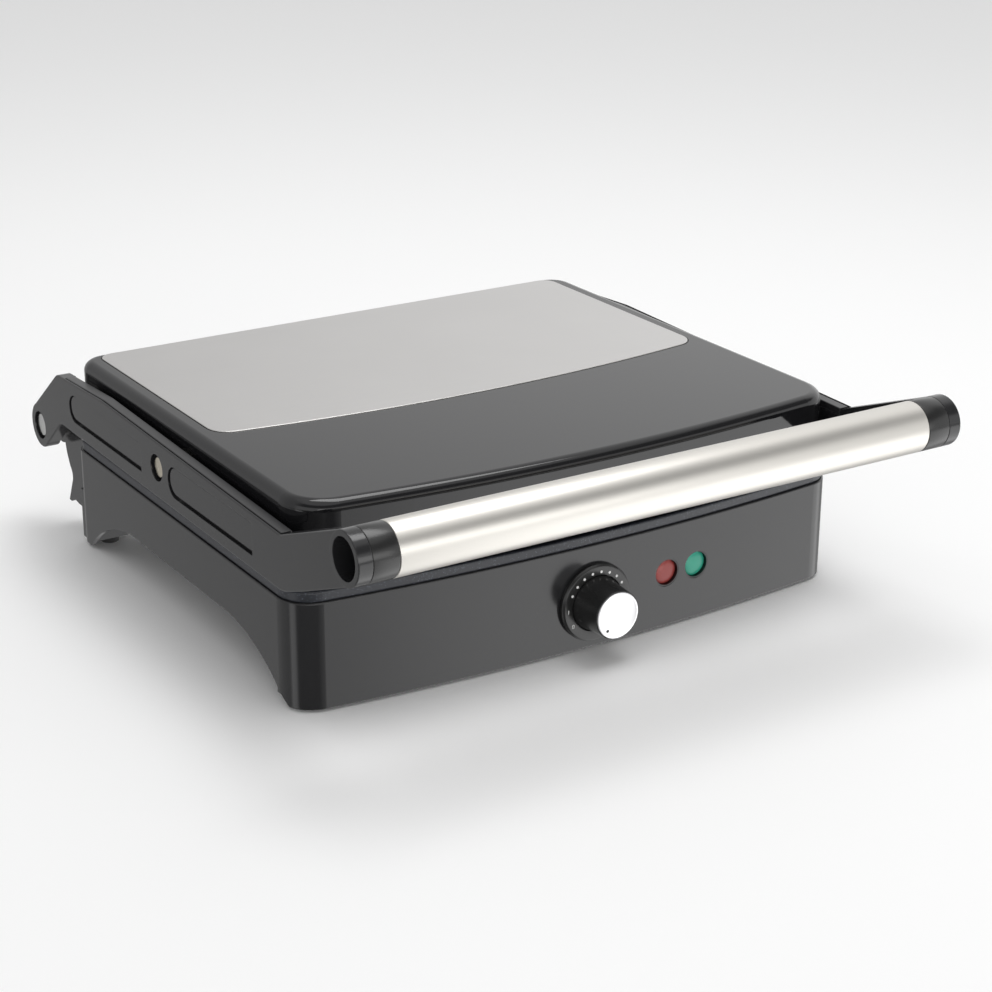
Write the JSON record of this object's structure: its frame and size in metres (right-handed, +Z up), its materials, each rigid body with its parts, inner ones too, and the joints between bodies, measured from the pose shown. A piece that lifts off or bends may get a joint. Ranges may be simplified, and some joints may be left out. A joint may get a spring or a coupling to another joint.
{
  "type": "panini press",
  "caption": "Contact grill with a hinged, floating upper plate, a tubular handle on two side arms and a thermostat knob on the front panel.",
  "frame": {"origin": "on the table, at the middle of the closed press's bounding box", "axes": "+X to the right, +Y to the rear (hinge), +Z up; the knob faces -Y"},
  "size_m": [0.3672, 0.4126, 0.129],
  "materials": {
    "black_plastic": "satin moulded",
    "rail_plastic": "satin moulded",
    "lid_gloss": "gloss",
    "sleeve_gloss": "high gloss",
    "steel_satin": "fine satin",
    "steel_brushed": "brushed round the tube",
    "cap_aluminium": "spun",
    "nonstick": "cast, with a speckled non-stick coat",
    "heater_steel": "oxidised sheath",
    "steel_bright": "plated",
    "brass": "plated",
    "bush_nylon": "moulded",
    "rubber": "matt",
    "red_lens": "translucent",
    "green_lens": "translucent",
    "neon_glass": "clear",
    "fuse_metal": "plain"
  },
  "bodies": {
    "base": {"lower_housing": "black_plastic", "bottom_cover": "black_plastic", "rubber_feet": "rubber", "cover_screws": "steel_bright", "bracket_screws": "steel_bright", "cord_inlet": "black_plastic", "terminal_block": "bush_nylon", "thermal_fuse": "fuse_metal", "wiring": "bush_nylon", "lower_grill_plate": "nonstick", "lower_heating_element": "heater_steel", "lower_heat_shield": "steel_satin", "thermostat_body": "bush_nylon", "dial_ring": "sleeve_gloss", "red_lamp_lens": "red_lens", "green_lamp_lens": "green_lens", "lamp_bezels": "sleeve_gloss", "neon_lamps": "neon_glass", "hinge_bracket_left": "black_plastic", "hinge_bracket_right": "black_plastic", "hinge_pin_left": "steel_bright", "hinge_pin_right": "steel_bright", "hinge_washers": "steel_bright"},
    "arms": {"left_arm": "black_plastic", "right_arm": "black_plastic", "left_arm_rail": "rail_plastic", "right_arm_rail": "rail_plastic", "handle_tube": "steel_brushed", "handle_sleeve_left": "sleeve_gloss", "handle_sleeve_right": "sleeve_gloss", "handle_screws": "steel_bright"},
    "lid": {"upper_housing": "lid_gloss", "steel_top_plate": "steel_satin", "upper_grill_plate": "nonstick", "upper_heating_element": "heater_steel", "upper_heat_shield": "steel_satin", "pivot_screws": "brass", "float_bushes": "bush_nylon"},
    "knob": {"control_knob": "sleeve_gloss", "knob_cap": "cap_aluminium", "thermostat_shaft": "steel_bright"}
  },
  "joints": [
    {"name": "lid_hinge", "type": "hinge", "parent": "base", "child": "arms", "pos_m": [0, 0.1928, 0.0635], "axis": [-1, 0, 0], "range_deg": [0, 179]},
    {"name": "lid_float", "type": "hinge", "parent": "arms", "child": "lid", "pos_m": [0, 0.0214, 0.0907], "axis": [1, 0, 0], "range_deg": [-1.2, 1.2]},
    {"name": "knob_turn", "type": "hinge", "parent": "base", "child": "knob", "pos_m": [0, -0.1306, 0.0278], "axis": [0, 1, 0], "range_deg": [0, 270]}
  ]
}
